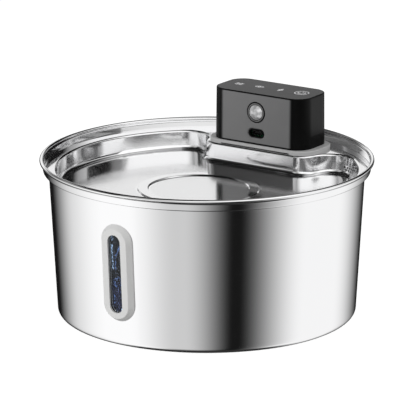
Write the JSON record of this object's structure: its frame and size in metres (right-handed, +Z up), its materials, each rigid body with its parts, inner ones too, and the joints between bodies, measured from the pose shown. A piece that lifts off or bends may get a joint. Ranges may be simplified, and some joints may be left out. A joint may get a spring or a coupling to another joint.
{
  "type": "pet water fountain",
  "caption": "Round steel pet water fountain: tapered tank with a level window, lift-out drinking tray with a magnet-driven pump, and a cordless sensor controller on a dock.",
  "frame": {"origin": "on the resting plane, under the tank's axis", "axes": "+Z up, -Y towards the level window, +Y towards the controller, +X to the right seen from the window"},
  "size_m": [0.26, 0.26, 0.16],
  "materials": {
    "steel": "satin",
    "grey_plastic": "satin",
    "black_plastic": "satin",
    "white_plastic": "matte",
    "panel": "satin",
    "clear": "clear",
    "sensor_lens": "frosted",
    "silicone": "matte",
    "screw_steel": "bright",
    "carbon": "fibre pad",
    "foam": "open-cell foam",
    "board": "solder mask",
    "cell": "shrink sleeve",
    "motor_can": "satin",
    "magnet": "ground",
    "lead": "matte"
  },
  "bodies": {
    "tank": {"tank_bowl": "steel", "window_bezel": "grey_plastic", "window_lens": "clear", "window_gasket": "silicone", "window_clamp": "grey_plastic"},
    "tray": {"drinking_tray": "steel", "dock": "grey_plastic", "dock_gasket": "silicone", "well_seal": "silicone", "dock_screws": "screw_steel", "pump_column": "white_plastic", "clamp_ring": "white_plastic", "riser_tube": "silicone", "pump_cover": "white_plastic", "cover_screws": "screw_steel", "impeller_shaft": "screw_steel", "filter_basket": "white_plastic", "carbon_filter": "carbon", "foam_filter": "foam"},
    "impeller_body": {"impeller": "white_plastic", "impeller_magnet": "magnet"},
    "controller": {"controller_housing": "black_plastic", "touch_panel": "panel", "touch_board": "board", "lens_ring": "black_plastic", "pir_lens": "sensor_lens", "pir_sensor": "motor_can", "usb_socket": "motor_can", "usb_tongue": "black_plastic", "control_board": "board", "board_screws": "screw_steel", "battery_cell": "cell", "controller_base": "black_plastic", "base_gasket": "silicone", "base_screws": "screw_steel", "motor": "motor_can", "motor_leads": "lead"},
    "drive_rotor": {"motor_shaft": "screw_steel", "drive_magnet": "magnet"}
  },
  "joints": [
    {"name": "tray_lift", "type": "slide", "parent": "tank", "child": "tray", "axis": [0, 0, 1], "range_m": [0, 0.12]},
    {"name": "controller_lift", "type": "slide", "parent": "tray", "child": "controller", "axis": [0, 0, 1], "range_m": [0, 0.085]},
    {"name": "drive_spin", "type": "hinge", "parent": "controller", "child": "drive_rotor", "pos_m": [0, 0.09, 0.044], "axis": [0, 0, 1], "continuous": true},
    {"name": "impeller_spin", "type": "hinge", "parent": "tray", "child": "impeller_body", "pos_m": [0, 0.09, 0.03], "axis": [0, 0, 1], "continuous": true}
  ],
  "couplings": [
    {"joint": "impeller_spin", "follows": "drive_spin", "ratio": 1}
  ]
}
